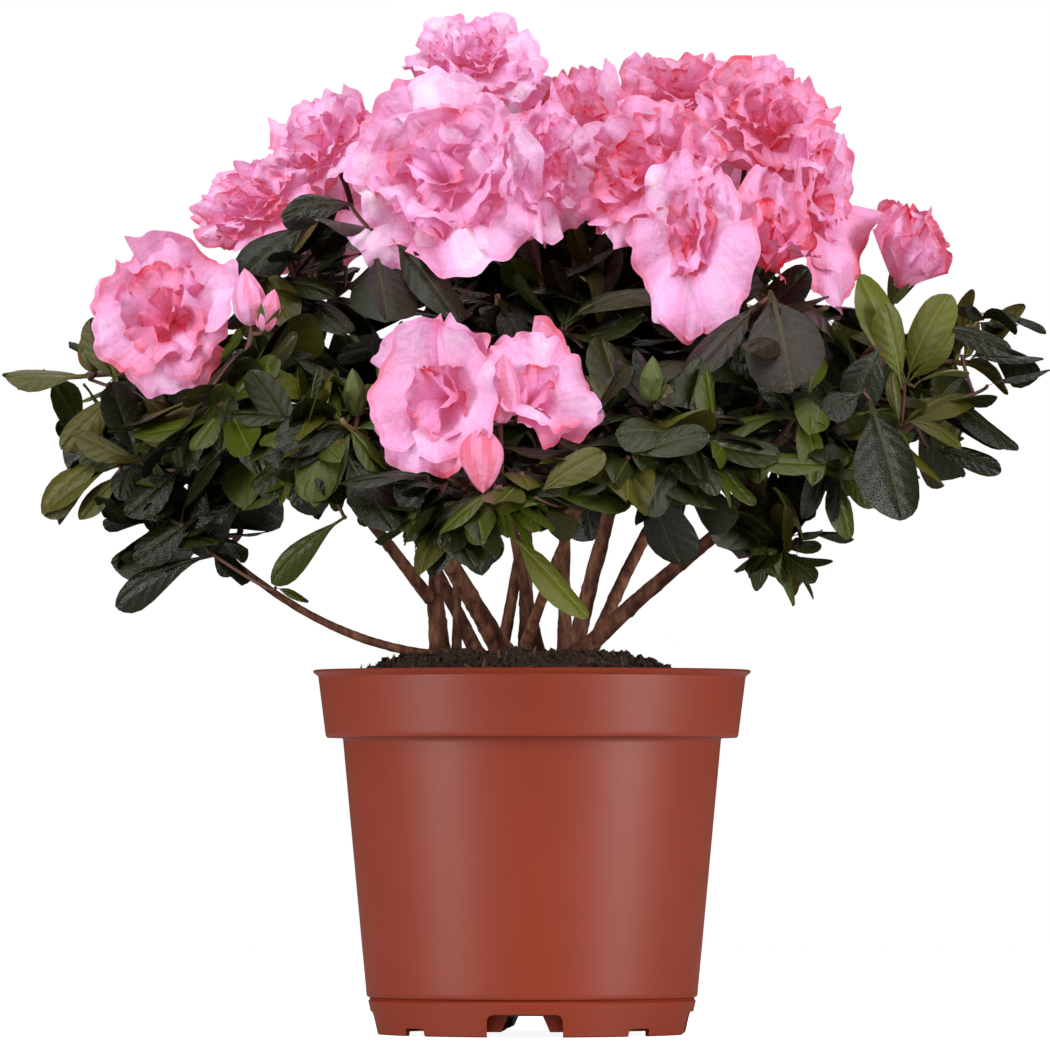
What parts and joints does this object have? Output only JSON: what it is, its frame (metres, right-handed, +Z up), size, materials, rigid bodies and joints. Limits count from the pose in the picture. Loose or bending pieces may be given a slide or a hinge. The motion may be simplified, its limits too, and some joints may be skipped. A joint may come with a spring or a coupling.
{
  "type": "potted azalea shrub",
  "caption": "Wide low flowering shrub with leaning stems, clumps of leaves and double pink blossom, standing in a round plastic nursery pot.",
  "frame": {"origin": "on the pot's axis, level with the underside of its foot", "axes": "+Z up the pot's axis, +X to the plant's right as seen from the front, -Y towards the front"},
  "size_m": [0.314, 0.268, 0.307],
  "materials": {
    "pot_plastic": "satin",
    "compost": "matte",
    "bark": "matte",
    "leaf": "satin",
    "petal": "matte"
  },
  "bodies": {
    "root": {"pot": "pot_plastic", "compost": "compost", "blossom_left": "petal", "blossom_left_upper": "petal", "blossom_upper_left": "petal", "blossom_large": "petal", "blossom_top": "petal", "blossom_centre": "petal", "blossom_centre_cup": "petal", "blossom_right_top": "petal", "blossom_right_rosette": "petal", "blossom_right_upper": "petal", "blossom_right_front": "petal", "blossom_right_cup": "petal", "blossom_right_side": "petal", "blossom_right_tip": "petal", "blossom_front_left": "petal", "blossom_front_right": "petal", "blossom_back_left": "petal", "blossom_back_top": "petal", "blossom_back": "petal", "blossom_back_right": "petal", "foliage_left_tip": "leaf", "foliage_left_low": "leaf", "foliage_left_under": "leaf", "foliage_left_middle": "leaf", "foliage_left_upper": "leaf", "foliage_left_front": "leaf", "foliage_front": "leaf", "foliage_heart": "leaf", "foliage_right_front": "leaf", "foliage_right_middle": "leaf", "foliage_right_under": "leaf", "foliage_right_upper": "leaf", "foliage_right_tip": "leaf", "foliage_right_low": "leaf", "foliage_back_left_side": "leaf", "foliage_back_left": "leaf", "foliage_back": "leaf", "foliage_back_right": "leaf", "foliage_back_right_side": "leaf", "foliage_back_upper": "leaf", "bough_left_low": "bark", "stem_left": "bark", "stem_left_thin": "bark", "stem_centre": "bark", "stem_centre_short": "bark", "stem_centre_front": "bark", "stem_centre_back": "bark", "stem_right_upright": "bark", "stem_right": "bark", "bough_right": "bark", "stem_back_left": "bark", "stem_back": "bark", "stem_back_right": "bark", "branch_left_outer": "bark", "branch_left_inner": "bark"}
  },
  "joints": []
}
